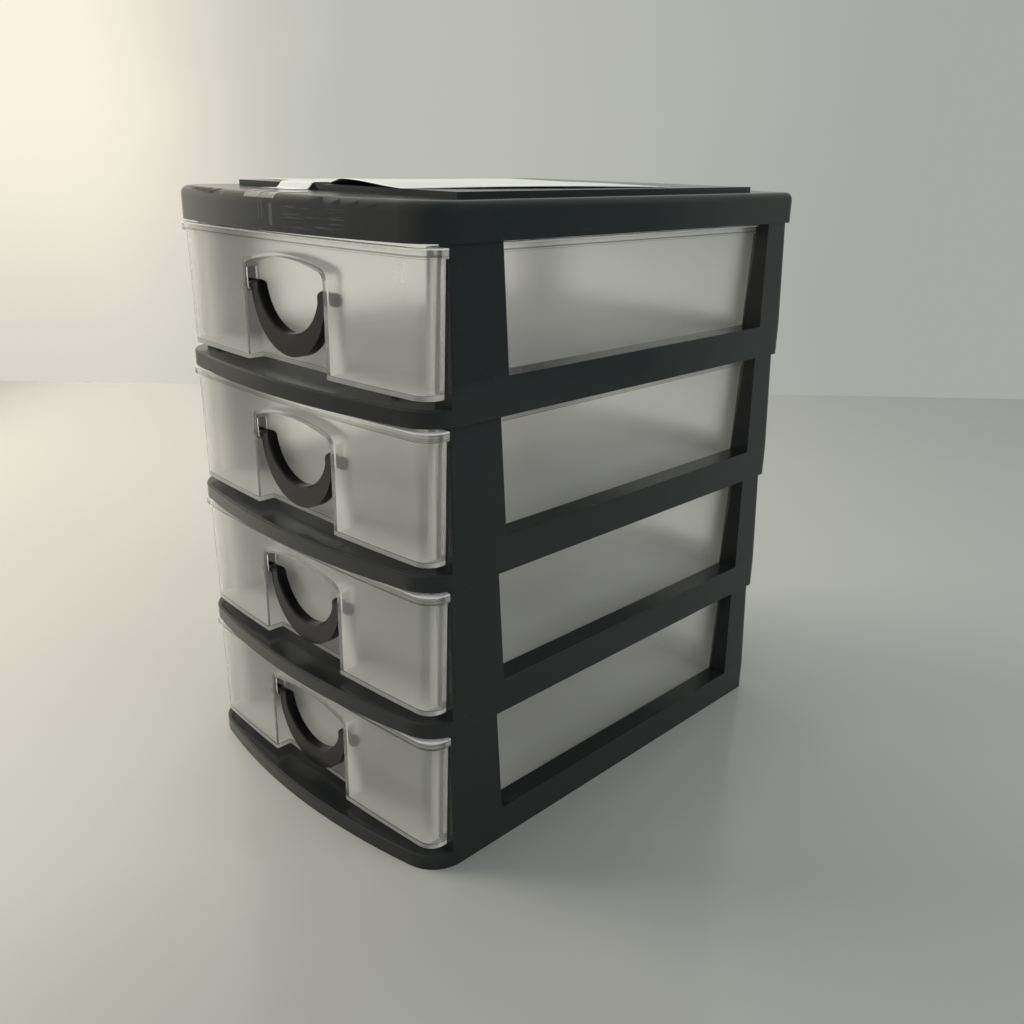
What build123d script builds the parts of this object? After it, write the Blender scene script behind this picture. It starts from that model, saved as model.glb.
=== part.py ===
from build123d import *
from math import sqrt
import os

# Desktop mini drawers: four stacking modules, each with a frosted tray on its shelf, under one cover.
# Millimetres. +Z is up, -Y is the front, and the origin is the middle of the footprint on the table.

# ---- Driving dimensions ----

# Outline shared by the modules and the cover
tier_count = 4
frame_width = 124.3
frame_depth = 175.4
front_bow = 7.8                # how far the front bulges past its corners
front_corner_radius = 12.3
back_corner_radius = 3.5
frame_wall = 1.3
inside_round = 0.4             # smallest corner left inside a wall

# One module: a shelf inside a channelled rim, on which four hollow posts stand
tier_pitch = 46.0
band_height = 5.0              # the front band, level with the shelf
rail_height = 11.0             # the rim along the sides and the back
rail_width = 7.0
shelf_thickness = 1.8
band_edge_round = 0.7
front_post_setback = 14.7      # from the foremost point back to the posts
front_post_width = 20.6
front_post_round = 0.6
back_post_width = 15.2         # its leg along the side
back_post_return = 18.0        # its leg along the back
plug_height = 8.0              # post top inside the module above
plug_fit = 0.15
stop_rib_thickness = 1.2
stop_rib_rise = 2.0            # how far a stop rib runs up inside its post
runner_height = 1.8
runner_width = 2.0
runner_spacing = 76.0

# Cover
cover_plate = 2.0
cover_edge_round = 2.5
platform_width = 104.0
platform_length = 136.5
platform_back_margin = 13.5
platform_height = 1.6

# Tray
panel_side_setback = 2.1       # panel behind the outline of the frame, at the rim
panel_setback = 5.3            # foremost point of the panel behind that of the frame
panel_bow = 2.8
panel_corner_radius = 5.4
tray_wall = 1.0
tray_floor = 1.3
tray_draft = 0.9               # how far sides and back lean in from the rim to the floor
tray_corner_radius = 4.0
tray_height = 38.0
rim_height = 2.5
rim_reach = 1.1
side_clearance = 0.3           # tray body to the rails, at the rim
back_clearance = 1.6
runner_gap = 0.2
stop_gap = 0.3                 # front panel's return to the posts

# Grip recess in the front panel, and the bail that hangs in it
recess_half_width = 20.1
recess_depth = 5.6             # from the foremost point of the panel to the back of the recess
recess_shoulder = 28.4         # above the floor of the tray
recess_arch = 3.2              # rise of the arched ceiling over its shoulders
recess_corner_radius = 2.5
slot_fit = 0.15
slot_rise = 5.3                # top of the slot over the pivot

bail_side_gap = 1.8
bail_back_gap = 0.4
bail_thickness = 3.4
bail_arm = 3.2                 # width of an arm at the pivot
bail_drop = 18.5               # from the pivot down to the lowest point
bail_band = 6.6                # width of the band at its lowest point
bail_tip = 2.0                 # arm above the pivot
bail_tip_round = 1.7
bail_bevel = 0.5
pivot_height = 21.8            # above the floor of the tray
neck_radius = 1.5
button_radius = 1.9
button_length = 1.8
button_round = 0.6
button_gap = 0.3

# Loose blank sheet that lies on the cover
sheet_width = 84.0
sheet_length = 93.0
sheet_thickness = 0.3
sheet_crown = 1.6              # how far its middle arches up
sheet_offset = 9.5             # to the right of the middle

# ---- Places that follow from them ----

half_width = frame_width / 2
front_y = -frame_depth / 2
back_y = frame_depth / 2

opening_half = half_width - rail_width
opening_back = back_y - rail_width
post_front = front_y + front_post_setback
post_taper = frame_wall + plug_fit
runner_top = band_height + runner_height

cover_base = tier_count * tier_pitch
cover_height = plug_height + cover_plate
platform_front = back_y - platform_back_margin - platform_length
platform_y = platform_front + platform_length / 2
platform_top = cover_base + cover_height + platform_height

tray_base = runner_top + runner_gap
tray_top = tray_base + tray_height
tray_half = opening_half - side_clearance
panel_half = half_width - panel_side_setback
tray_back = opening_back - back_clearance
panel_return = post_front - stop_gap
panel_front = front_y + panel_setback
recess_back = panel_front + recess_depth
recess_wall_half = recess_half_width + tray_wall

bail_half = recess_half_width - bail_side_gap
bail_back = recess_back - bail_back_gap
pivot_y = bail_back - bail_thickness / 2
pivot_z = tray_base + pivot_height


# ---- Outlines seen from above ----

def bowed_face(half, front, back, bow, corner_radius):
    """A face with a bowed front between two round corners, and straight sides and back."""
    bulge = ThreePointArc((-half, front + bow), (0, front), (half, front + bow))
    sides = Polyline((half, front + bow), (half, back), (-half, back), (-half, front + bow))
    face = make_face([bulge, sides])
    return fillet(face.vertices().sort_by(Axis.Y)[:2], corner_radius)


def parallel_bow(inset):
    """How far the front of the frame still bulges where it is drawn in by inset."""
    radius = (half_width**2 + front_bow**2) / (2 * front_bow) - inset
    return radius - sqrt(radius**2 - (half_width - inset) ** 2)


def outline(inset=0.0):
    """Outline of the frame, drawn in by inset."""
    front_radius = max(front_corner_radius - inset, inside_round)
    back_radius = max(back_corner_radius - inset, inside_round)
    face = bowed_face(half_width - inset, front_y + inset, back_y - inset, parallel_bow(inset), front_radius)
    return fillet(face.vertices().sort_by(Axis.Y)[-2:], back_radius)


def ahead_of(y):
    """A sheet that covers everything in front of y."""
    return Pos(0, y - frame_depth) * Rectangle(2 * frame_width, 2 * frame_depth)


def rail_plan(inset=0.0):
    """The side and back rails behind the post fronts, drawn in on every side by inset."""
    reach = 2 * frame_depth
    middle = Pos(0, opening_back + inset - reach / 2) * Rectangle(2 * (opening_half + inset), reach)
    return outline(inset) - middle - ahead_of(post_front + inset)


def front_post_plan(inset, front_inset):
    """The right front post; its front face has an inset of its own."""
    width = rail_width - 2 * inset
    length = front_post_width - inset - front_inset
    middle = (half_width - rail_width / 2, post_front + front_inset + length / 2)
    return Pos(*middle) * RectangleRounded(width, length, front_post_round)


def back_post_plan(inset):
    """The right back post, which turns the corner of the rail."""
    reach = (back_post_return - inset, back_post_width - inset)
    corner = Pos(half_width - reach[0] / 2 - inset, back_y - reach[1] / 2 - inset) * Rectangle(*reach)
    shrink = Pos(half_width - back_post_return + inset, back_y - back_post_width + inset)
    corner = corner & (shrink * Rectangle(frame_width, frame_depth, align=Align.MIN))
    return rail_plan(inset) & corner


# ---- Frame ----

def column(foot_plan, pitch_plan, plug_plan, foot, head):
    """A post's solid: it tapers from its foot to the next module, then runs straight up into it."""
    taper = loft([Pos(0, 0, foot) * foot_plan, Pos(0, 0, tier_pitch) * pitch_plan], ruled=True)
    plug = Pos(0, 0, tier_pitch) * extrude(plug_plan, head - tier_pitch)
    return taper + plug


def front_post():
    """The right front post; its front face stays upright, because the drawer closes on it."""
    top = tier_pitch + plug_height
    wall = frame_wall + post_taper
    outside = column(front_post_plan(0, 0), front_post_plan(post_taper, 0),
                     front_post_plan(post_taper, post_taper), rail_height, top)
    inside = column(front_post_plan(frame_wall, wall), front_post_plan(wall, wall),
                    front_post_plan(wall, wall), rail_height - frame_wall, top - frame_wall)
    return outside, inside


def back_post():
    """The right back post, tapered on every side."""
    top = tier_pitch + plug_height
    wall = frame_wall + post_taper
    outside = column(back_post_plan(0), back_post_plan(post_taper), back_post_plan(post_taper),
                     rail_height, top)
    inside = column(back_post_plan(frame_wall), back_post_plan(wall), back_post_plan(wall),
                    rail_height - frame_wall, top - frame_wall)
    return outside, inside


def stop_ribs():
    """Cross ribs in the right-hand channel, on which the plugs of the module below come to a stop."""
    across = rail_width - frame_wall
    height = rail_height + stop_rib_rise - plug_height
    level = plug_height + height / 2
    channel_x = half_width - rail_width / 2
    channel_y = back_y - rail_width / 2
    side_rib = Box(across, stop_rib_thickness, height)
    back_rib = Box(stop_rib_thickness, across, height)
    side_leg = back_y - (back_post_width + rail_width) / 2
    back_leg = half_width - (back_post_return + rail_width) / 2
    ribs = Pos(back_leg, channel_y, level) * back_rib
    for y in (post_front + front_post_width / 4, post_front + 3 * front_post_width / 4, side_leg):
        ribs += Pos(channel_x, y, level) * side_rib
    return ribs


def runners():
    """Two low ribs along the shelf, on which the tray slides."""
    length = opening_back - post_front
    rib = Box(runner_width, length, runner_height, align=(Align.CENTER, Align.MIN, Align.MIN))
    return [Pos(side * runner_spacing / 2, post_front, band_height) * rib for side in (-1, 1)]


def tier_frame():
    """One module, moulded in one piece, standing on z = 0."""
    module = extrude(outline(), band_height)
    module = fillet(module.edges().group_by(Axis.Z)[-1], band_edge_round)
    module += extrude(rail_plan(), rail_height)
    posts = [front_post(), back_post()]
    for outside, _ in posts:
        module += outside + mirror(outside, Plane.YZ)
    module -= extrude(outline(frame_wall), band_height - shelf_thickness)
    module -= extrude(rail_plan(frame_wall), rail_height - frame_wall)
    for _, inside in posts:
        module -= inside + mirror(inside, Plane.YZ)
    ribs = stop_ribs()
    module += ribs + mirror(ribs, Plane.YZ)
    return module + runners()


def top_cover():
    """The cover: a skirt with channels for the posts, and a raised platform on top, at z = 0."""
    cover = extrude(outline(), cover_height)
    cover = fillet(cover.edges().group_by(Axis.Z)[-1], cover_edge_round)
    platform = Rectangle(platform_width, platform_length)
    cover += Pos(0, platform_y, cover_height) * extrude(platform, platform_height)
    cover -= extrude(rail_plan(frame_wall), plug_height)
    cover -= extrude(outline(frame_wall) - rail_plan(), plug_height)
    hollow = Rectangle(platform_width - 2 * cover_plate, platform_length - 2 * cover_plate)
    return cover - Pos(0, platform_y) * extrude(hollow, plug_height + platform_height)


# ---- Tray ----

def tray_plan(inset=0.0, draft=0.0):
    """The tray from above: the bowed panel, and behind its return the narrower body.

    The inset draws the whole outline in; the draft only the sides and the back.
    """
    step = panel_return - max(inset, 0)
    panel = bowed_face(panel_half - inset - draft, panel_front + inset, step, panel_bow, panel_corner_radius - inset)
    front = step - tray_wall / 2
    back = tray_back - inset - draft
    body = Pos(0, (front + back) / 2) * Rectangle(2 * (tray_half - inset - draft), back - front)
    return panel + fillet(body.vertices().sort_by(Axis.Y)[-2:], tray_corner_radius - inset)


def recess_plan(grow=0.0):
    """The grip recess seen from the front, its outline moved out by grow; open at the bottom."""
    half = recess_half_width + grow
    shoulder = tray_base + recess_shoulder + grow
    arch = ThreePointArc((-half, shoulder), (0, shoulder + recess_arch), (half, shoulder))
    sides = Polyline((half, shoulder), (half, 0), (-half, 0), (-half, shoulder))
    face = make_face([arch, sides])
    return fillet(face.vertices().sort_by(Axis.Y)[-2:], recess_corner_radius + grow)


def towards_back(face, start, end):
    """A face drawn in X and Z, extruded from y = start to y = end."""
    return Pos(0, start, 0) * extrude(Plane.XZ * face, -(end - start))


def pin_slot():
    """The slot in a recess wall: the bail's neck drops in from the top and hangs at the bottom."""
    radius = neck_radius + slot_fit
    seat = Circle(radius) + Pos(0, slot_rise / 2) * Rectangle(2 * radius, slot_rise)
    length = 2 * (recess_wall_half + tray_wall)
    return Pos(-length / 2, pivot_y, pivot_z) * extrude(Plane.YZ * seat, length)


def drawer():
    """One tray, moulded in one piece, closed in the lowest module."""
    foot = tray_base + tray_floor
    blank = loft([Pos(0, 0, tray_base) * tray_plan(0, tray_draft), Pos(0, 0, tray_top) * tray_plan()], ruled=True)
    shell = blank - loft([Pos(0, 0, foot) * tray_plan(tray_wall, tray_draft),
                          Pos(0, 0, tray_top) * tray_plan(tray_wall)], ruled=True)
    shell += Pos(0, 0, tray_top - rim_height) * extrude(tray_plan(-rim_reach) - tray_plan(tray_wall), rim_height)
    shell += towards_back(recess_plan(tray_wall), front_y, recess_back + tray_wall) & blank
    shell -= towards_back(recess_plan(), front_y, recess_back)
    return shell - pin_slot()


def crescent():
    """The bail from the front, with its pivot at the origin: thin arms that widen into a broad band."""
    inner_half = bail_half - bail_arm
    curves = [ThreePointArc((-bail_half, 0), (0, -bail_drop), (bail_half, 0)),
              ThreePointArc((-inner_half, 0), (0, bail_band - bail_drop), (inner_half, 0))]
    for side in (-1, 1):
        curves.append(Polyline((side * bail_half, 0), (side * bail_half, bail_tip),
                               (side * inner_half, bail_tip), (side * inner_half, 0)))
    face = make_face(curves)
    tips = face.vertices().group_by(Axis.Y)[-1]
    return fillet(tips.sort_by(Axis.X)[1:3], bail_tip_round)


def handle():
    """The bail: round ends that can swing in the recess, a bevelled hand opening, a button on each neck."""
    tip = bail_tip - bail_thickness / 2
    side = Pos(0, tip) * Circle(bail_thickness / 2)
    side += Pos(0, tip - bail_drop) * Rectangle(bail_thickness, 2 * bail_drop)
    bail = Pos(0, -bail_thickness / 2, 0) * extrude(Plane.XZ * crescent(), -bail_thickness)
    arcs = bail.edges().group_by(Axis.Y)[0].filter_by(GeomType.CIRCLE).sort_by(SortBy.LENGTH)
    bail = chamfer(arcs[-2], bail_bevel)
    bail &= extrude(Plane.YZ * side, bail_half, both=True)
    neck_length = recess_wall_half + button_gap - bail_half + bail_arm / 2
    neck = Cylinder(neck_radius, neck_length, align=(Align.CENTER, Align.CENTER, Align.MAX))
    button = Cylinder(button_radius, button_length, align=(Align.CENTER, Align.CENTER, Align.MIN))
    button = fillet(button.edges().group_by(Axis.Z)[-1], button_round)
    pin = Pos(recess_wall_half + button_gap, 0, 0) * Rot(0, 90, 0) * (neck + button)
    return Pos(0, pivot_y, pivot_z) * (bail + pin + mirror(pin, Plane.YZ))


def sheet():
    """The blank sheet: it lies on its two long edges and arches up between them."""
    half = sheet_width / 2
    middle = ThreePointArc((-half, 0), (0, sheet_crown), (half, 0))
    profile = Plane.XZ * trace(middle, sheet_thickness)
    bottom = platform_top + sheet_thickness / 2
    return Pos(sheet_offset, platform_front, bottom) * extrude(profile, -sheet_length)


# ---- Files ----

def main():
    os.makedirs("parts", exist_ok=True)
    module, tray, bail = tier_frame(), drawer(), handle()
    for tier in range(tier_count):
        level = Pos(0, 0, tier * tier_pitch)
        number = tier_count - tier
        export_step(level * module, f"parts/tier_frame_{number}.step")
        export_step(level * tray, f"parts/drawer_{number}.step")
        export_step(level * bail, f"parts/handle_{number}.step")
    export_step(Pos(0, 0, cover_base) * top_cover(), "parts/top_cover.step")
    export_step(sheet(), "parts/top_sheet.step")


main()
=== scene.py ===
"""Desktop mini drawers: the finishes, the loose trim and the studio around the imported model."""

import logging
import math
from dataclasses import dataclass, field
from enum import Enum

import bpy
from mathutils import Matrix, Vector


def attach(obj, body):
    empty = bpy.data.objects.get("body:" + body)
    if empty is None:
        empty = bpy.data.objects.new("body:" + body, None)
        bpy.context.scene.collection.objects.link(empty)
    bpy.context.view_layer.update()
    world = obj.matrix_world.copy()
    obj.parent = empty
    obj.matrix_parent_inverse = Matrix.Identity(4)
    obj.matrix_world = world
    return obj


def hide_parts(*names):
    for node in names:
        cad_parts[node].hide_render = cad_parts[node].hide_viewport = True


Vec = tuple[float, float, float]
Colour = tuple[float, float, float]
Pair = tuple[float, float]
log = logging.getLogger("mini_drawers")

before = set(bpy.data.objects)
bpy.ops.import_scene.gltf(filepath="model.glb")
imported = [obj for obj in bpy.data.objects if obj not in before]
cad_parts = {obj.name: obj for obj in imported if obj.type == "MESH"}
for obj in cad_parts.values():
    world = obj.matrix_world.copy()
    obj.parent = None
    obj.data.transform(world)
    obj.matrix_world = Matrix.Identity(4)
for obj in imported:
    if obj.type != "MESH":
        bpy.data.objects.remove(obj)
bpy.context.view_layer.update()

MM_PER_METRE = 1000.0
TIER_PITCH = 46.0
TIER_NUMBERS = (1, 2, 3, 4)


# ---- Shader maths ----


class Graph:
    """A node tree of a material, the world or a mesh, with short ways to add to it."""

    def __init__(self, tree: bpy.types.NodeTree, output: str = "ShaderNodeOutputMaterial") -> None:
        """Starts a tree with nothing but its output.

        Args:
            tree: The tree that is built.
            output: The type of its output node.
        """
        self.tree = tree
        self.tree.nodes.clear()
        self.output = self.tree.nodes.new(output)

    def node(
            self, kind: str, settings: dict | None = None, inputs: dict | None = None) -> bpy.types.Node:
        """Adds any node.

        Args:
            kind: The node's type.
            settings: Its properties, set before its sockets.
            inputs: Values, wrapped sockets or plain sockets, by socket name or number.

        Returns:
            The new node.
        """
        made = self.tree.nodes.new(kind)
        for name, value in (settings or {}).items():
            setattr(made, name, value)
        for name, value in (inputs or {}).items():
            self.feed(made.inputs[name], value)
        return made

    def feed(self, socket: bpy.types.NodeSocket, value: object) -> None:
        """Links or sets one input socket.

        Args:
            socket: The input.
            value: A wrapped socket, a plain socket, a colour or a number.
        """
        if isinstance(value, Value):
            self.tree.links.new(value.socket, socket)
        elif isinstance(value, bpy.types.NodeSocket):
            self.tree.links.new(value, socket)
        elif isinstance(value, tuple) and len(value) == 3 and socket.type == "RGBA":
            socket.default_value = (*value, 1.0)
        else:
            socket.default_value = value

    def value(self, node: bpy.types.Node, name: str | int = 0) -> "Value":
        """Wraps one output of a node for use in expressions."""
        return Value(self, node.outputs[name])

    def place(self) -> tuple["Value", "Value", "Value"]:
        """The surface's place on the object.

        Returns:
            Its x, y and z in millimetres, as three values.
        """
        coords = self.node("ShaderNodeTexCoord")
        split = self.node("ShaderNodeSeparateXYZ", inputs={0: coords.outputs["Object"]})
        return tuple(self.value(split, axis) * MM_PER_METRE for axis in range(3))

    def stretched(self, scale: Vec) -> bpy.types.NodeSocket:
        """Object coordinates in millimetres, stretched along each axis.

        Args:
            scale: The scale along x, y and z.

        Returns:
            The stretched coordinates.
        """
        coords = self.node("ShaderNodeTexCoord")
        factors = tuple(MM_PER_METRE * s for s in scale)
        mapping = self.node("ShaderNodeMapping", inputs={0: coords.outputs["Object"], "Scale": factors})
        return mapping.outputs[0]

    def noise(self, scale: Vec, detail: float = 2.0, roughness: float = 0.5) -> "Value":
        """Noise on the object's own coordinates.

        Args:
            scale: One over the size of a grain in millimetres, along each axis.
            detail: How many finer layers are added.
            roughness: How strong the finer layers are.

        Returns:
            A value around a half.
        """
        inputs = {
            "Vector": self.stretched(scale), "Scale": 1.0, "Detail": detail, "Roughness": roughness}
        return self.value(self.node("ShaderNodeTexNoise", inputs=inputs), 0)

    def blend(self, factor: object, low: object, high: object) -> bpy.types.NodeSocket:
        """Mixes two colours.

        Args:
            factor: The share of the second colour.
            low: The first colour.
            high: The second colour.

        Returns:
            The mixed colour.
        """
        mix = self.node("ShaderNodeMix", {"data_type": "RGBA", "clamp_factor": True})
        self.feed(mix.inputs[0], factor)
        self.feed(mix.inputs[6], low)
        self.feed(mix.inputs[7], high)
        return mix.outputs[2]

    def bump(self, height: object, distance: float, strength: float = 1.0) -> bpy.types.NodeSocket:
        """A normal bumped by a height.

        Args:
            height: A value from 0 to 1.
            distance: What a height of 1 measures, in millimetres.
            strength: How much of the bump shows.

        Returns:
            The normal socket.
        """
        inputs = {"Strength": strength, "Distance": distance / MM_PER_METRE, "Height": height}
        return self.node("ShaderNodeBump", inputs=inputs).outputs[0]

    def mix(
            self, factor: object, first: bpy.types.NodeSocket,
            second: bpy.types.NodeSocket) -> bpy.types.NodeSocket:
        """Mixes two shaders by a factor, which is the share of the second."""
        return self.node("ShaderNodeMixShader", inputs={0: factor, 1: first, 2: second}).outputs[0]

    def surface(self, shader: bpy.types.NodeSocket) -> None:
        """Sends a shader to the material's surface."""
        self.tree.links.new(shader, self.output.inputs["Surface"])


@dataclass(frozen=True)
class Value:
    """One number in a material: an output socket that takes part in expressions."""

    graph: Graph
    socket: bpy.types.NodeSocket

    def _math(self, operation: str, *others: object) -> "Value":
        """Adds a Math node on this value and others.

        Args:
            operation: What the node works out.
            others: The other values or numbers.

        Returns:
            The result.
        """
        inputs = dict(enumerate((self, *others)))
        node = self.graph.node("ShaderNodeMath", {"operation": operation}, inputs)
        return Value(self.graph, node.outputs[0])

    def _reflected(self, operation: str, other: float) -> "Value":
        """Adds a Math node with a plain number first and this value second."""
        node = self.graph.node("ShaderNodeMath", {"operation": operation}, {0: other, 1: self})
        return Value(self.graph, node.outputs[0])

    def __add__(self, other: object) -> "Value":
        """Sum."""
        return self._math("ADD", other)

    def __sub__(self, other: object) -> "Value":
        """Difference."""
        return self._math("SUBTRACT", other)

    def __rsub__(self, other: float) -> "Value":
        """Difference with a plain number first."""
        return self._reflected("SUBTRACT", other)

    def __mul__(self, other: object) -> "Value":
        """Product."""
        return self._math("MULTIPLY", other)

    def __truediv__(self, other: object) -> "Value":
        """Quotient."""
        return self._math("DIVIDE", other)

    def __mod__(self, other: float) -> "Value":
        """Remainder that is never negative."""
        return self._math("FLOORED_MODULO", other)

    def __abs__(self) -> "Value":
        """Absolute value."""
        return self._math("ABSOLUTE")

    def __gt__(self, other: object) -> "Value":
        """One where this is greater, else zero."""
        return self._math("GREATER_THAN", other)

    def __lt__(self, other: object) -> "Value":
        """One where this is less, else zero."""
        return self._math("LESS_THAN", other)

    def largest(self, other: object) -> "Value":
        """The larger of two values."""
        return self._math("MAXIMUM", other)

    def rise(self, start: float, end: float) -> "Value":
        """A smooth step, whose start may be larger than its end.

        Args:
            start: Where it is 0.
            end: Where it is 1.

        Returns:
            The step.
        """
        inputs = {0: self, 1: start, 2: end, 3: 0.0, 4: 1.0}
        settings = {"interpolation_type": "SMOOTHSTEP", "clamp": True}
        return Value(self.graph, self.graph.node("ShaderNodeMapRange", settings, inputs).outputs[0])

    def band(self, low: float, high: float, soft: float) -> "Value":
        """One between low and high, fading over soft at both sides."""
        return self.rise(low - soft, low) * self.rise(high + soft, high)


# ---- Finishes ----


@dataclass(frozen=True)
class Finish:
    """A surface finish: a name and the way its material is built."""

    name: str

    def material(self) -> bpy.types.Material:
        """Makes the material, or finds the one made before.

        Returns:
            The material.
        """
        made = bpy.data.materials.get(self.name)
        if made is None:
            made = bpy.data.materials.new(self.name)
            made.use_nodes = True
            self.build(Graph(made.node_tree))
        return made

    def build(self, graph: Graph) -> None:
        """Fills the material's tree.

        Args:
            graph: The tree to fill.
        """
        raise NotImplementedError


@dataclass(frozen=True)
class GlossFrame(Finish):
    """Black moulded plastic with a soft gloss, fine handling scratches and a slight waviness."""

    name: str = "gloss_frame"
    black: Colour = (0.0125, 0.0140, 0.0139)
    scuffed: Colour = (0.05, 0.05, 0.047)
    gloss: float = 0.16
    cloud_dulling: float = 0.1
    mark_dulling: float = 0.3
    ior: float = 1.42
    scuff_strength: float = 0.35
    hairline_strength: float = 0.4
    wave_height: float = 0.35
    wave_strength: float = 0.45

    def marks(self, graph: Graph) -> Value:
        """Where the surface is scuffed, from 0 to 1.

        Args:
            graph: The tree that is being filled.

        Returns:
            Patches of scuffing and hairline scratches.
        """
        scuff = graph.noise((0.12, 0.12, 0.5), 4.0, 0.62).rise(0.62, 0.86)
        upright = graph.noise((0.05, 0.05, 3.2), 2.0).rise(0.71, 0.77)
        across = graph.noise((2.6, 0.06, 0.07), 2.0).rise(0.73, 0.79)
        worn = graph.noise((0.035, 0.035, 0.05), 2.0).rise(0.45, 0.62)
        return scuff * self.scuff_strength + upright.largest(across) * worn * self.hairline_strength

    def build(self, graph: Graph) -> None:
        """Black body, dulled and paler where it is scuffed.

        Args:
            graph: The tree to fill.
        """
        marks = self.marks(graph)
        cloud = graph.noise((0.03, 0.03, 0.04), 3.0)
        wavy = graph.noise((0.05, 0.05, 0.06), 1.0)
        grain = graph.noise((1.6, 1.6, 1.6), 2.0)
        evenly = self.gloss - self.cloud_dulling / 2.0
        shader = graph.node("ShaderNodeBsdfPrincipled", inputs={
            "Base Color": graph.blend(marks, self.black, self.scuffed), "IOR": self.ior,
            "Roughness": cloud * self.cloud_dulling + marks * self.mark_dulling + evenly,
            "Normal": graph.bump(wavy * 0.92 + grain * 0.08, self.wave_height, self.wave_strength)})
        graph.surface(shader.outputs[0])


@dataclass(frozen=True)
class GlossCover(GlossFrame):
    """The frame's plastic with the wear of the cover's front.

    The wear is a rubbed patch, the outline of a blister and a streak of glue.
    """

    name: str = "gloss_cover"
    front_y: float = -85.0
    rubbed_x: Pair = (13.0, 33.0)
    rubbed_z: Pair = (185.6, 190.8)
    rubbed_strength: float = 0.9
    blister_x: float = 0.4
    blister_half: float = 0.85
    blister_line: Pair = (0.22, 0.1)
    blister_foot: Pair = (186.8, 187.2)
    blister_strength: float = 0.7
    streak_x: Pair = (4.9, 5.9)
    streak_z: Pair = (186.5, 190.5)
    streak_strength: float = 0.8

    def marks(self, graph: Graph) -> Value:
        """The common wear with the cover's own marks on its front.

        Args:
            graph: The tree that is being filled.

        Returns:
            All marks, from 0 to 1.
        """
        x, y, z = graph.place()
        front = y.rise(self.front_y + 1.0, self.front_y)
        strokes = graph.noise((0.10, 0.10, 2.6), 3.0, 0.6).rise(0.5, 0.72)
        rubbed = strokes * x.band(*self.rubbed_x, 4.0) * z.band(*self.rubbed_z, 1.2)
        aside = abs(x - self.blister_x)
        blister = abs(aside - self.blister_half).rise(*self.blister_line) * z.rise(*self.blister_foot)
        streak = x.band(*self.streak_x, 0.5) * z.band(*self.streak_z, 1.5)
        own = (rubbed * self.rubbed_strength).largest(blister * self.blister_strength)
        return super().marks(graph).largest(own.largest(streak * self.streak_strength) * front)


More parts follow.
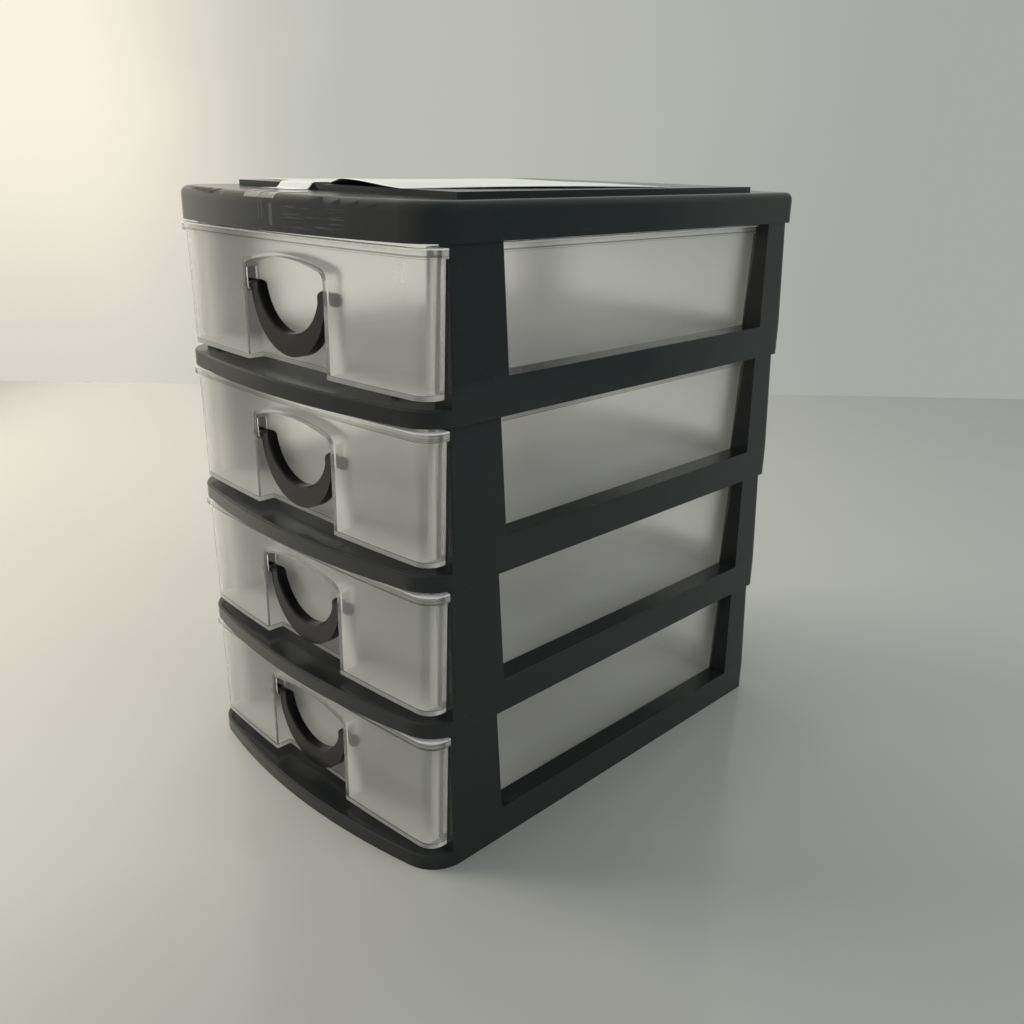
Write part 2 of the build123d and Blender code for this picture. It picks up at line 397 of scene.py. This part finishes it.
@dataclass(frozen=True)
class FrostedTray(Finish):
    """Frosted translucent plastic: near things show through it blurred, far ones as soft light.

    Places are in millimetres, and levels are heights over the foot of a tray's own module.
    """

    name: str = "frosted_tray"
    body: Colour = (0.965, 0.965, 0.952)
    # The pale colour below is the painted highlight colour of the rim, foot and side-edge bands.
    pale: Colour = (1.0, 1.0, 0.99)
    # The dark colour below is painted shade, laid into the rim's grooves.
    groove_shade: Colour = (0.22, 0.22, 0.21)
    see_through: float = 0.99
    milk: float = 0.06
    inner_milk: float = 0.42
    forward: float = 0.45
    lets_light: float = 0.9
    roughness: float = 0.19
    ior: float = 1.42
    # Painted highlights: the rim, foot and side-edge strengths set how much paler and milkier those bands are
    # painted.
    rim_level: Pair = (44.55, 44.8)
    rim_glow_strength: float = 1.6
    foot_level: Pair = (8.7, 8.2)
    foot_glow_strength: float = 0.5
    side_edge_x: Pair = (58.0, 58.6)
    side_edge_y: Pair = (-75.2, -74.9)
    side_edge_glow_strength: float = 0.12
    groove: Pair = (42.95, 43.2)
    fine_groove: Pair = (44.2, 44.3)
    wall_foot: float = 53.27
    wall_flare: float = 0.0243
    floor_level: float = 7.65
    back_foot: float = 77.5
    back_flare: float = 0.024
    panel_half: float = 56.5
    panel_back: float = -73.8
    panel_inner: float = 81.88
    panel_bow: float = 0.0008
    recess_half: float = 20.6
    recess_back: float = -76.3
    recess_crown: float = 39.1
    recess_arch: float = 0.0079
    scratched_x: Pair = (48.2, 52.6)
    scratched_z: Pair = (173.8, 179.2)

    def inner_faces(self, x: Value, y: Value, level: Value) -> Value:
        """Where a surface faces the inside of the tray, which is moulded with a matt grain.

        Args:
            x: The place across, in millimetres.
            y: The place from front to back.
            level: The height over the foot of the tray's own module.

        Returns:
            One on the faces inside, zero on the polished faces outside.
        """
        aside = abs(x)
        body = aside < level * self.wall_flare + self.wall_foot
        panel = (aside < self.panel_half) * (y < self.panel_back)
        behind_panel = y > x * x * self.panel_bow - self.panel_inner
        before_back = y < level * self.back_flare + self.back_foot
        deep = behind_panel * before_back * (level > self.floor_level)
        under_arch = level < self.recess_crown - x * x * self.recess_arch
        recess = (aside < self.recess_half) * (y < self.recess_back) * under_arch
        return body.largest(panel) * deep * (1.0 - recess)

    def scratches(self, x: Value, y: Value, z: Value, grain: Value) -> Value:
        """The patch of hatched scratches at the top right of the uppermost panel.

        Args:
            x: The place across, in millimetres.
            y: The place from front to back.
            z: The height over the table.
            grain: Fine noise that breaks the strokes up.

        Returns:
            One in a scratch, zero elsewhere.
        """
        strokes = abs((z * 0.9 + x * 0.12 + grain * 0.5) % 1.0 - 0.5).rise(0.14, 0.07)
        slash = abs(x - 52.0 - (z - 176.0) * 0.22 + grain * 0.4).rise(0.22, 0.1)
        patch = z.band(*self.scratched_z, 0.3)
        return (strokes * x.band(*self.scratched_x, 0.5)).largest(slash) * patch * y.rise(-79.9, -80.0)

    def milky(self, graph: Graph, colour: Colour) -> bpy.types.NodeSocket:
        """Milky plastic of one colour, which sends some light back and lets some in.

        Args:
            graph: The tree that is being filled.
            colour: Its colour.

        Returns:
            The shader.
        """
        sent_back = graph.node("ShaderNodeBsdfDiffuse", inputs={"Color": colour})
        let_in = graph.node("ShaderNodeBsdfTranslucent", inputs={"Color": colour})
        return graph.mix(self.forward, sent_back.outputs[0], let_in.outputs[0])

    def build(self, graph: Graph) -> None:
        """Clear body under a milky skin, paler and thicker as painted highlights at the foot, the top edge
        and the panel's sides, with painted shade in the grooves.

        Args:
            graph: The tree to fill.
        """
        x, y, z = graph.place()
        level = z % TIER_PITCH
        # Painted highlight: the rim, foot and panel-side masks make paler, milkier bands that stand in for
        # light glowing through the wall's edges.
        rim = level.rise(*self.rim_level)
        foot = level.rise(*self.foot_level)
        side_edge = abs(x).rise(*self.side_edge_x) * y.rise(*self.side_edge_y)
        cloud = graph.noise((0.04, 0.04, 0.03), 3.0)
        hair = graph.noise((0.9, 0.9, 0.02), 2.0).rise(0.72, 0.78)
        edge_glow = (foot * self.foot_glow_strength).largest(side_edge * self.side_edge_glow_strength)
        edge_glow = edge_glow.largest(rim * self.rim_glow_strength)
        # Painted shade: the grooves get a dark colour and a dark milky share, where shade falls in them.
        shaded_grooves = level.band(*self.groove, 0.1) + level.band(*self.fine_groove, 0.1) * 0.4
        groove_shade_share = shaded_grooves * 0.8
        colour = graph.blend(groove_shade_share, graph.blend(edge_glow, self.body, self.pale), self.groove_shade)
        grain = graph.noise((2.2, 2.2, 2.2), 2.0)
        scratches = self.scratches(x, y, z, grain)
        clear = graph.node("ShaderNodeBsdfPrincipled", inputs={
            "Base Color": colour, "Roughness": grain * 0.06 + self.roughness, "IOR": self.ior,
            "Transmission Weight": self.see_through, "Normal": graph.bump(grain, 0.02, 0.5)})
        plain = graph.mix(edge_glow, self.milky(graph, self.body), self.milky(graph, self.pale))
        milk = graph.mix(groove_shade_share, plain, self.milky(graph, self.groove_shade))
        inside = graph.value(graph.node("ShaderNodeNewGeometry"), "Backfacing")
        matt = self.inner_faces(x, y, level) * (self.inner_milk - self.milk)
        # This adds the painted edge highlight to the real hairlines, scratches and clouding.
        worn = edge_glow * 0.5 + hair * 0.1 + scratches * 0.4 + cloud * 0.06
        skin = (1.0 - inside) * (worn + matt + (self.milk - 0.03))
        mixed = graph.mix(skin, clear.outputs[0], milk)
        lamp_ray = graph.value(graph.node("ShaderNodeLightPath"), "Is Shadow Ray") * self.lets_light
        through = graph.node("ShaderNodeBsdfTransparent", inputs={"Color": self.body})
        graph.surface(graph.mix(lamp_ray, mixed, through.outputs[0]))


@dataclass(frozen=True)
class SatinBail(Finish):
    """Black satin plastic with a fine grain and a rubbed sheen."""

    name: str = "satin_bail"
    black: Colour = (0.006, 0.006, 0.0055)
    rubbed: Colour = (0.06, 0.058, 0.052)
    rubbed_strength: float = 0.2
    roughness: float = 0.17
    ior: float = 1.34

    def build(self, graph: Graph) -> None:
        """Black body with faint rubbed streaks.

        Args:
            graph: The tree to fill.
        """
        grain = graph.noise((1.8, 1.8, 1.8), 2.0)
        rub = graph.noise((0.25, 0.6, 0.9), 3.0, 0.6).rise(0.6, 0.85)
        shader = graph.node("ShaderNodeBsdfPrincipled", inputs={
            "Base Color": graph.blend(rub * self.rubbed_strength, self.black, self.rubbed),
            "Roughness": grain * 0.1 + self.roughness, "IOR": self.ior,
            "Normal": graph.bump(grain, 0.03, 0.5)})
        graph.surface(shader.outputs[0])


@dataclass(frozen=True)
class PlainSheet(Finish):
    """Thin pale sheet with a faint mottling."""

    name: str = "plain_sheet"
    pale: Colour = (0.68, 0.68, 0.645)
    grey: Colour = (0.56, 0.565, 0.54)
    roughness: float = 0.35
    ior: float = 1.45

    def build(self, graph: Graph) -> None:
        """Pale body with soft mottling.

        Args:
            graph: The tree to fill.
        """
        mottle = graph.noise((0.03, 0.015, 0.2), 3.0)
        grain = graph.noise((1.5, 1.5, 1.5), 2.0)
        shader = graph.node("ShaderNodeBsdfPrincipled", inputs={
            "Base Color": graph.blend(mottle.rise(0.3, 0.7), self.grey, self.pale),
            "Roughness": grain * 0.1 + self.roughness, "IOR": self.ior,
            "Normal": graph.bump(grain, 0.03, 0.4)})
        graph.surface(shader.outputs[0])


class Haze(Enum):
    """How much of the light a film scatters."""

    CLOUDY = 0.45
    FAINT = 0.08


@dataclass(frozen=True)
class ClearFilm(Finish):
    """Clear sticky film, glossy, hazy and slightly wrinkled."""

    name: str = "clear_film"
    tint: Colour = (0.97, 0.965, 0.94)
    clearest: Colour = (1.0, 1.0, 0.98)
    haze: Haze = Haze.CLOUDY
    haze_spread: float = 0.14
    roughness: float = 0.08
    ior: float = 1.47
    see_through: float = 0.99

    def build(self, graph: Graph) -> None:
        """Clear glossy body with a thin haze.

        Args:
            graph: The tree to fill.
        """
        ripple = graph.noise((0.4, 0.25, 0.4), 3.0)
        grain = graph.noise((2.0, 2.0, 2.0), 2.0)
        clear = graph.node("ShaderNodeBsdfPrincipled", inputs={
            "Base Color": graph.blend(grain, self.tint, self.clearest),
            "Roughness": grain * 0.1 + self.roughness, "IOR": self.ior,
            "Transmission Weight": self.see_through, "Normal": graph.bump(ripple, 0.2, 0.5)})
        haze = graph.node("ShaderNodeBsdfDiffuse", inputs={"Color": self.tint})
        share = ripple * self.haze_spread + (self.haze.value - self.haze_spread / 2.0)
        graph.surface(graph.mix(share, clear.outputs[0], haze.outputs[0]))


@dataclass(frozen=True)
class TableTop(Finish):
    """The pale glossy table, with painted light: lighter towards the window."""

    name: str = "table_top"
    # near_window and away are the two ends of a painted light gradient; deep is the colour of the painted
    # shade.
    near_window: Colour = (0.475, 0.465, 0.425)
    away: Colour = (0.305, 0.31, 0.30)
    deep: Colour = (0.03, 0.032, 0.033)
    far_side_shade_strength: float = 0.27
    lamp_side_shade_strength: float = 0.75
    roughness: float = 0.12
    ior: float = 1.5

    def build(self, graph: Graph) -> None:
        """A wide painted gradient of light from the window's side to the other, with painted shade right
        under the window's lamp and at the front right of the stack.

        Args:
            graph: The tree to fill.
        """
        x, y, _ = graph.place()
        grain = graph.noise((0.01, 0.01, 0.01), 3.0)
        # Painted light: the colour grows lighter towards the window.
        lit = (x * -0.72 + y * -0.3 + grain * 60.0).rise(-250.0, 330.0)
        # Painted shade at the front right of the stack, on the side away from the window.
        far_side_shade = x.rise(-60.0, 90.0) * y.rise(110.0, -90.0)
        # Painted shade right under the window's lamp.
        lamp_side_shade = (x * -0.7 + y * -0.7).rise(340.0, 560.0)
        base = graph.blend(lit, self.away, self.near_window)
        tone = graph.blend(lamp_side_shade * self.lamp_side_shade_strength, base, self.deep)
        shader = graph.node("ShaderNodeBsdfPrincipled", inputs={
            "Base Color": graph.blend(far_side_shade * self.far_side_shade_strength, tone, self.deep),
            "Roughness": grain * 0.06 + self.roughness, "IOR": self.ior})
        graph.surface(shader.outputs[0])


@dataclass(frozen=True)
class RoomWall(Finish):
    """The pale wall behind, which glows softly where the window's light falls on it."""

    name: str = "room_wall"
    shade: Colour = (0.385, 0.395, 0.375)
    middle: Colour = (0.50, 0.51, 0.465)
    bright: Colour = (0.97, 0.90, 0.76)
    foot_glow: float = 0.38

    def build(self, graph: Graph) -> None:
        """A bright warm patch from the window at the upper left, fading to grey.

        Args:
            graph: The tree to fill.
        """
        x, y, z = graph.place()
        along = x * 0.71 + y * 0.70
        cloud = graph.noise((0.004, 0.004, 0.006), 2.0) * 90.0
        glow = z.rise(-20.0, 260.0) * (1.0 - self.foot_glow) + self.foot_glow
        patch = (along + cloud).rise(-80.0, -330.0) * glow
        fade = (along + cloud).rise(420.0, -60.0)
        colour = graph.blend(patch, graph.blend(fade, self.shade, self.middle), self.bright)
        glowing = graph.node("ShaderNodeEmission", inputs={"Color": colour, "Strength": 1.0})
        graph.surface(glowing.outputs[0])


# ---- Meshes ----


def smooth_step(value: float, start: float, end: float) -> float:
    """A smooth step that is 0 at start and 1 at end; start may be the larger."""
    t = min(max((value - start) / (end - start), 0.0), 1.0)
    return t * t * (3.0 - 2.0 * t)


def mesh_object(
        name: str, points: list[Vec], faces: list[tuple[int, ...]], finish: Finish) -> bpy.types.Object:
    """Makes an object at the origin from points in the part's frame.

    Args:
        name: The object's name.
        points: Its vertices, in metres.
        faces: Its faces, as vertex numbers.
        finish: What it is covered with.

    Returns:
        The new object, linked to the scene.
    """
    mesh = bpy.data.meshes.new(name)
    mesh.from_pydata(points, [], faces)
    mesh.validate()
    mesh.materials.append(finish.material())
    made = bpy.data.objects.new(name, mesh)
    bpy.context.scene.collection.objects.link(made)
    return made


def grid_object(name: str, rows: list[list[Vec]], finish: Finish) -> bpy.types.Object:
    """Makes a sheet of quads from rows of points that all have the same length.

    Args:
        name: The object's name.
        rows: The rows of points, in millimetres.
        finish: What it is covered with.

    Returns:
        The new object.
    """
    width = len(rows[0])
    points = [tuple(c / MM_PER_METRE for c in point) for row in rows for point in row]
    faces = []
    for r in range(len(rows) - 1):
        for c in range(width - 1):
            first = r * width + c
            faces.append((first, first + 1, first + width + 1, first + width))
    return mesh_object(name, points, faces, finish)


def baked(source: bpy.types.Object, thickness: float) -> bpy.types.Object:
    """Gives a sheet its thickness above its own face and turns all its modifiers into a plain mesh.

    Args:
        source: The sheet, which goes away.
        thickness: Its thickness, in millimetres.

    Returns:
        A plain object of the same name.
    """
    wall = source.modifiers.new("thickness", "SOLIDIFY")
    wall.thickness = thickness / MM_PER_METRE
    wall.offset = 1.0
    evaluated = source.evaluated_get(bpy.context.evaluated_depsgraph_get())
    mesh = bpy.data.meshes.new_from_object(evaluated)
    name = source.name
    bpy.data.objects.remove(source)
    made = bpy.data.objects.new(name, mesh)
    bpy.context.scene.collection.objects.link(made)
    for face in mesh.polygons:
        face.use_smooth = True
    return made


def dress(node: str, finish: Finish) -> None:
    """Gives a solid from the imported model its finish.

    Args:
        node: The solid's node.
        finish: What it is covered with.
    """
    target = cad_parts[node]
    target.data.materials.clear()
    target.data.materials.append(finish.material())


# ---- The product ----


@dataclass
class ModuleStack:
    """The four stacked frames and their cover."""

    finish: Finish = field(default_factory=GlossFrame)
    cover_finish: Finish = field(default_factory=GlossCover)

    def build(self) -> None:
        """Dresses the frames and the cover."""
        for number in TIER_NUMBERS:
            dress(f"tier_frame_{number}", self.finish)
            log.info("dressed tier_frame_%d", number)
        dress("top_cover", self.cover_finish)
        log.info("dressed top_cover")


@dataclass
class DrawerSet:
    """The frosted trays and the bails that hang in them."""

    tray: Finish = field(default_factory=FrostedTray)
    bail: Finish = field(default_factory=SatinBail)

    def build(self) -> None:
        """Dresses every tray and bail."""
        for number in TIER_NUMBERS:
            dress(f"drawer_{number}", self.tray)
            dress(f"handle_{number}", self.bail)
            log.info("dressed drawer_%d and handle_%d", number, number)


@dataclass
class LooseSheet:
    """The blank sheet that lies askew on the platform, its front edge arched up."""

    finish: Finish = field(default_factory=PlainSheet)
    corner: Pair = (33.0, -63.2)
    turn_deg: float = 8.0
    width: float = 84.0
    length: float = 98.0
    thickness: float = 0.2
    rest: float = 195.63
    arch: float = 1.5
    arch_peak: float = 0.42
    arch_end: float = 0.54
    side_lift: float = 0.45
    side_share: float = 0.3
    wave: float = 0.12
    steps: tuple[int, int] = (60, 56)

    def height(self, across: float, along: float) -> float:
        """How high the sheet lies.

        Args:
            across: The place across, from 0 at the right to 1 at the left.
            along: The place along, from 0 at the front to 1 at the back.

        Returns:
            The height of its lower face, in millimetres.
        """
        right_side = smooth_step(across, 0.0, self.arch_peak)
        arch = self.arch * right_side * smooth_step(across, self.arch_end, self.arch_peak)
        wave = self.wave * math.sin(5.0 * across + 3.0 * along) ** 2
        lift = self.side_lift * math.sin(math.pi * along) * smooth_step(across, self.side_share, 0.0)
        return self.rest + arch * (1.0 - along) ** 2 + lift + wave * smooth_step(across, 0.0, 0.1)

    def build(self) -> None:
        """Builds the sheet in place of the plain solid."""
        turn = math.radians(self.turn_deg)
        rows = []
        for r in range(self.steps[1] + 1):
            along = r / self.steps[1]
            row = []
            for c in range(self.steps[0] + 1):
                across = 1.0 - c / self.steps[0]
                left, back = across * self.width, along * self.length
                x = self.corner[0] - left * math.cos(turn) + back * math.sin(turn)
                y = self.corner[1] + left * math.sin(turn) + back * math.cos(turn)
                row.append((x, y, self.height(across, along)))
            rows.append(row)
        sheet = baked(grid_object("loose_sheet", rows, self.finish), self.thickness)
        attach(sheet, "frame")
        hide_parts("top_sheet")
        log.info("laid the loose sheet")


@dataclass
class FilmStrips:
    """The clear film: a strip with a saw-cut end, and a scrap folded over the cover's edge.

    A ridge in the scrap is its place across, its lean, its width and its height, in millimetres.
    """

    finish: Finish = field(default_factory=ClearFilm)
    scrap_finish: Finish = field(default_factory=lambda: ClearFilm("thin_film", haze=Haze.FAINT))
    teeth: int = 9
    tooth_pitch: float = 1.83
    tooth_depth: float = 0.9
    strip_length: float = 38.0
    strip_middle: float = -19.0
    strip_front: float = -70.2
    cover_top: float = 194.0
    cover_level: float = 194.05
    platform_level: float = 196.0
    platform_front: float = -62.3
    strip_rows: int = 80
    film: float = 0.05
    scrap_x: Pair = (-8.0, 7.0)
    scrap_steps: tuple[int, int] = (63, 75)
    scrap_step: float = 0.2
    scrap_start_deg: float = 25.0
    stand_off: float = 0.03
    ridges: tuple[tuple[float, float, float, float], ...] = (
        (-6.0, 0.9, 0.35, 0.3), (-4.6, -0.5, 0.25, 0.22), (0.2, 0.3, 0.3, 0.5), (1.6, -0.8, 0.25, 0.35))
    edge_round: float = 2.5
    front_y: float = -87.7
    bow_radius: float = 251.5

    def strip_tree(self) -> bpy.types.NodeTree:
        """The tree that makes the strip from its named sizes.

        Returns:
            The finished tree.
        """
        tree = bpy.data.node_groups.new("film_strip", "GeometryNodeTree")
        tree.interface.new_socket("Geometry", in_out="OUTPUT", socket_type="NodeSocketGeometry")
        names = ("Tooth Pitch", "Tooth Depth", "Length", "Middle", "Front", "Low Level", "High Level", "Step")
        for name in names:
            tree.interface.new_socket(name, in_out="INPUT", socket_type="NodeSocketFloat")
        graph = Graph(tree, "NodeGroupOutput")
        given = graph.node("NodeGroupInput")
        pitch, depth, length, middle, front, low, high, step = (graph.value(given, name) for name in names)
        grid = graph.node("GeometryNodeMeshGrid", inputs={
            "Size X": pitch * self.teeth, "Size Y": length,
            "Vertices X": 2 * self.teeth + 1, "Vertices Y": self.strip_rows})
        flat = graph.node("GeometryNodeInputPosition")
        split = graph.node("ShaderNodeSeparateXYZ", inputs={0: flat.outputs[0]})
        x, y = graph.value(split, 0), graph.value(split, 1)
        notch = abs((x / pitch) % 1.0 - 0.5) * 2.0
        at_end = y < (length * -0.5 + 0.00001)
        new_y = y + length * 0.5 + front + notch * depth * at_end
        climb = (new_y - step).rise(-0.0022, 0.0004)
        level = low + (high - low) * climb
        place = graph.node("ShaderNodeCombineXYZ", inputs={0: x + middle, 1: new_y, 2: level})
        moved = graph.node("GeometryNodeSetPosition", inputs={
            0: grid.outputs[0], "Position": place.outputs[0]})
        real = graph.node("GeometryNodeRealizeInstances", inputs={0: moved.outputs[0]})
        film = self.finish.material()
        covered = graph.node("GeometryNodeSetMaterial", inputs={0: real.outputs[0], "Material": film})
        graph.feed(graph.output.inputs[0], covered.outputs[0])
        return tree

    def build_strip(self) -> bpy.types.Object:
        """The strip from the sheet down to the cover.

        Returns:
            The strip as a plain mesh.
        """
        strip = mesh_object("film_strip", [], [], self.finish)
        maker = strip.modifiers.new("strip", "NODES")
        maker.node_group = self.strip_tree()
        sizes = {
            "Tooth Pitch": self.tooth_pitch, "Tooth Depth": self.tooth_depth, "Length": self.strip_length,
            "Middle": self.strip_middle, "Front": self.strip_front, "Low Level": self.cover_level,
            "High Level": self.platform_level, "Step": self.platform_front}
        for item in maker.node_group.interface.items_tree:
            if item.in_out == "INPUT":
                maker[item.identifier] = sizes[item.name] / MM_PER_METRE
        return baked(strip, self.film)

    def wrinkle(self, x: float, along: float) -> float:
        """How far the scrap stands off the cover.

        Args:
            x: The place across, in millimetres.
            along: The way from its upper edge, in millimetres.

        Returns:
            The distance in millimetres.
        """
        stand = sum(
            tall * math.exp(-((x - at - lean * (along - 3.0)) / wide) ** 2)
            for at, lean, wide, tall in self.ridges)
        return self.stand_off + stand * smooth_step(along, 0.2, 2.2) * smooth_step(along, 7.5, 4.0)

    def build_scrap(self) -> bpy.types.Object:
        """The scrap that folds over the rounded front edge of the cover.

        Returns:
            The scrap as a plain mesh.
        """
        rows = []
        start = math.radians(self.scrap_start_deg)
        arc = math.radians(90.0 - self.scrap_start_deg) * self.edge_round
        left, right = self.scrap_x
        for r in range(self.scrap_steps[0] + 1):
            along = r * self.scrap_step
            row = []
            for c in range(self.scrap_steps[1] + 1):
                x = left + (right - left) * c / self.scrap_steps[1]
                turn = start + min(along, arc) / self.edge_round
                reach = self.edge_round + self.wrinkle(x, along)
                bow = x * x / (2.0 * self.bow_radius)
                y = self.front_y + bow + self.edge_round - reach * math.cos(turn) + max(along - arc, 0.0)
                row.append((x, y, self.cover_top - self.edge_round + reach * math.sin(turn)))
            rows.append(row)
        return baked(grid_object("film_scrap", rows, self.scrap_finish), self.film)

    def build(self) -> None:
        """Builds both pieces of film on the frame's body."""
        for piece in (self.build_strip(), self.build_scrap()):
            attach(piece, "frame")
            log.info("stuck down %s", piece.name)


# ---- The studio ----


WARM: Colour = (1.0, 0.955, 0.88)
COOL: Colour = (0.95, 0.98, 1.0)


@dataclass(frozen=True)
class Lamp:
    """One soft rectangular lamp: where it hangs and points, its size in metres, its power in watts."""

    name: str
    place: Vec
    target: Vec
    size: Pair
    power: float
    colour: Colour = COOL
    shines: bool = False

    def hang(self) -> None:
        """Adds the lamp; glossy surfaces mirror it only if it shines."""
        light = bpy.data.lights.new(self.name, "AREA")
        light.shape = "RECTANGLE"
        light.size, light.size_y = self.size
        light.energy = self.power
        light.color = self.colour
        lamp = bpy.data.objects.new(self.name, light)
        lamp.location = self.place
        lamp.visible_glossy = self.shines
        lamp.visible_transmission = False
        aim = Vector(self.target) - Vector(self.place)
        lamp.rotation_euler = aim.to_track_quat("-Z", "Y").to_euler()
        bpy.context.scene.collection.objects.link(lamp)


@dataclass
class Room:
    """The table, the wall behind it, the lamps and the camera."""

    table_near: float = -1.6
    table_side: float = 1.6
    wall_height: float = 1.6
    wall_depth: float = 0.6
    wall_middle: Vec = (-0.384, 0.401, 0.0)
    wall_along: Vec = (0.71, 0.70, 0.0)
    wall_reach: Pair = (2.2, 0.50)
    table_corner: Vec = (0.55, -0.35, 0.0)
    camera_place: Vec = (0.24609, -0.23864, 0.20475)
    camera_right: Vec = (0.710, 0.704, 0.018)
    camera_down: Vec = (0.2514, -0.2296, -0.9403)
    camera_forward: Vec = (-0.658, 0.672, -0.340)
    lens: float = 34.78
    sensor: float = 36.0
    lamps: tuple[Lamp, ...] = (
        Lamp("window", (-1.06, -0.52, 0.43), (0.0, 0.0, 0.08), (0.9, 0.8), 32.0, WARM),
        Lamp("ceiling", (-0.1, 0.0, 1.4), (0.0, 0.0, 0.0), (1.1, 1.1), 4.0),
        Lamp("skylight", (-0.1, 0.0, 1.4), (0.0, 0.0, 0.0), (0.35, 0.35), 2.3, shines=True),
        Lamp("fill", (1.0, 0.25, 0.55), (0.0, 0.0, 0.1), (0.9, 0.8), 8.0))
    dim_air: Colour = (0.15, 0.20, 0.195)
    lit_air: Colour = (0.66, 0.65, 0.62)

    def wall_line(self) -> tuple[Vector, Vector]:
        """The foot of the wall, from its left end to its right end."""
        middle, along = Vector(self.wall_middle), Vector(self.wall_along)
        return middle - along * self.wall_reach[0], middle + along * self.wall_reach[1]

    def build_table(self) -> None:
        """The table top, cut off where its far edge meets the wall."""
        left, right = self.wall_line()
        near_right = right + Vector(self.table_corner)
        points = [
            tuple(left), (self.table_near, self.table_near, 0.0), (self.table_side, self.table_near, 0.0),
            tuple(near_right), tuple(right)]
        mesh_object("table", points, [tuple(range(len(points)))], TableTop())

    def build_wall(self) -> None:
        """The wall, which runs on below and past the table."""
        left, right = self.wall_line()
        far = right + (right - left)
        drop = Vector((0.0, 0.0, -self.wall_depth))
        rise = Vector((0.0, 0.0, self.wall_height))
        points = [tuple(left + drop), tuple(far + drop), tuple(far + rise), tuple(left + rise)]
        mesh_object("wall", points, [(0, 1, 2, 3)], RoomWall())

    def build_lamps(self) -> None:
        """Hangs the lamps, in grey air that is lighter towards the window."""
        for lamp in self.lamps:
            lamp.hang()
        world = bpy.data.worlds.new("room_air")
        world.use_nodes = True
        bpy.context.scene.world = world
        graph = Graph(world.node_tree, "ShaderNodeOutputWorld")
        towards = graph.node("ShaderNodeTexCoord")
        split = graph.node("ShaderNodeSeparateXYZ", inputs={0: towards.outputs["Generated"]})
        x, y = graph.value(split, 0), graph.value(split, 1)
        lit = (x * -0.8 + y * -0.6).rise(-0.6, 0.7)
        colour = graph.blend(lit, self.dim_air, self.lit_air)
        air = graph.node("ShaderNodeBackground", inputs={0: colour})
        graph.surface(air.outputs[0])

    def build_camera(self) -> None:
        """The camera at the photograph's place and angle."""
        data = bpy.data.cameras.new("camera")
        data.sensor_width = self.sensor
        data.lens = self.lens
        camera = bpy.data.objects.new("camera", data)
        up, back = -Vector(self.camera_down), -Vector(self.camera_forward)
        axes = Matrix((Vector(self.camera_right), up, back))
        camera.matrix_world = Matrix.Translation(self.camera_place) @ axes.transposed().to_4x4()
        bpy.context.scene.collection.objects.link(camera)
        bpy.context.scene.camera = camera

    def build(self) -> None:
        """Sets up everything around the product."""
        self.build_camera()
        self.build_table()
        self.build_wall()
        self.build_lamps()
        bpy.context.scene.view_settings.view_transform = "Standard"
        log.info("set up the room")


def main() -> None:
    """Builds the product's looks and then the room."""
    logging.basicConfig(level=logging.INFO, format="%(name)s: %(message)s")
    for part in (ModuleStack(), DrawerSet(), LooseSheet(), FilmStrips(), Room()):
        part.build()


if __name__ == "__main__":
    main()
